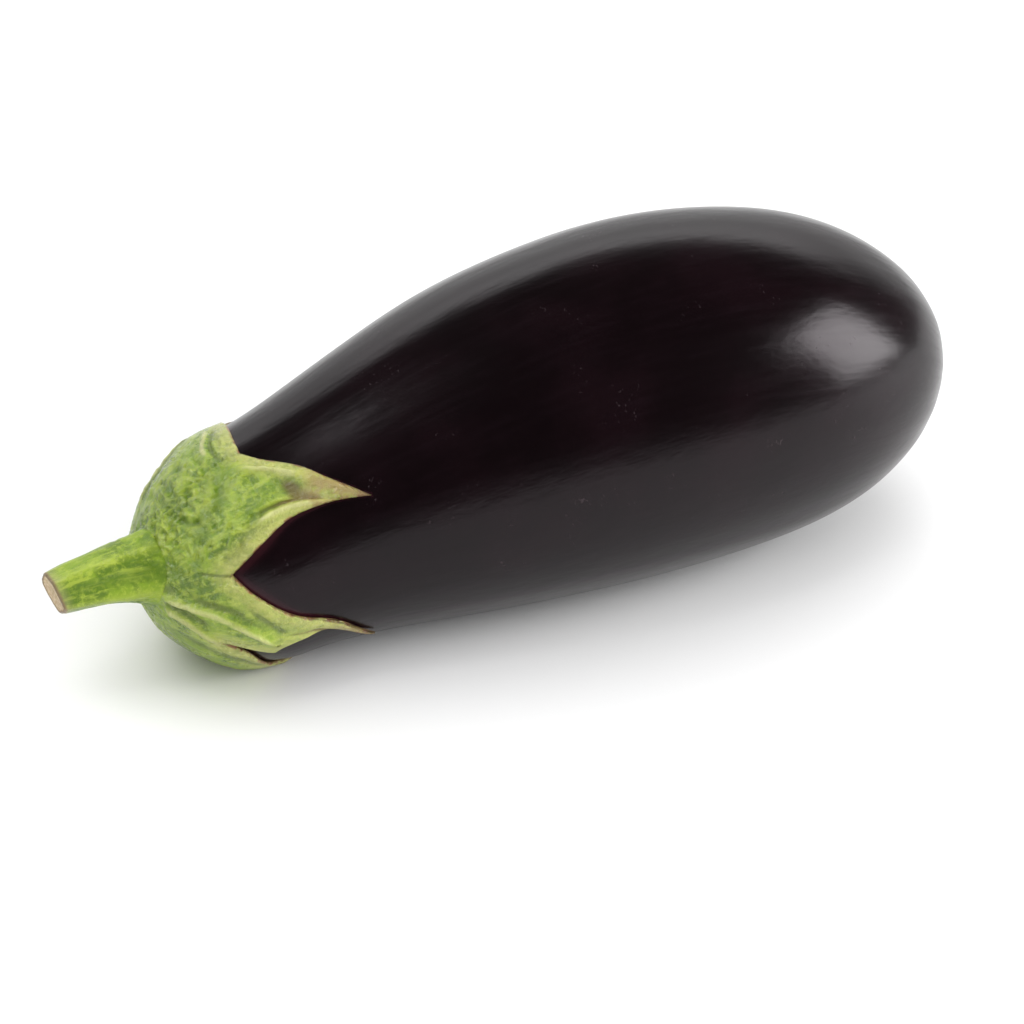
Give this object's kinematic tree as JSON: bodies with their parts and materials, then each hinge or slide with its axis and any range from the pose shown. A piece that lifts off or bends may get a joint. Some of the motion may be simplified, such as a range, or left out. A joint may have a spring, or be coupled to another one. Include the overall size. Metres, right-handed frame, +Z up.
{
  "type": "eggplant",
  "caption": "Whole glossy dark purple eggplant lying on its side, with a lobed green calyx over its narrow end and a short cut stem.",
  "frame": {"origin": "middle of the small flat spot under the belly that the fruit rests on, on the surface it lies on", "axes": "+X runs along the fruit from the stem towards the blossom end, +Z is up"},
  "size_m": [0.2243, 0.084, 0.0835],
  "materials": {
    "fruit_skin": "glossy waxy skin, near black aubergine purple, stands in for plant skin",
    "calyx": "fleshy yellow green leaf tissue, bumpy with a soft sheen, dry brown tips, stands in for plant tissue",
    "stem": "ridged yellow green stem with a dry tan cut end, stands in for plant tissue"
  },
  "bodies": {
    "root": {"fruit": "fruit_skin", "calyx": "calyx", "stem": "stem"}
  },
  "joints": []
}
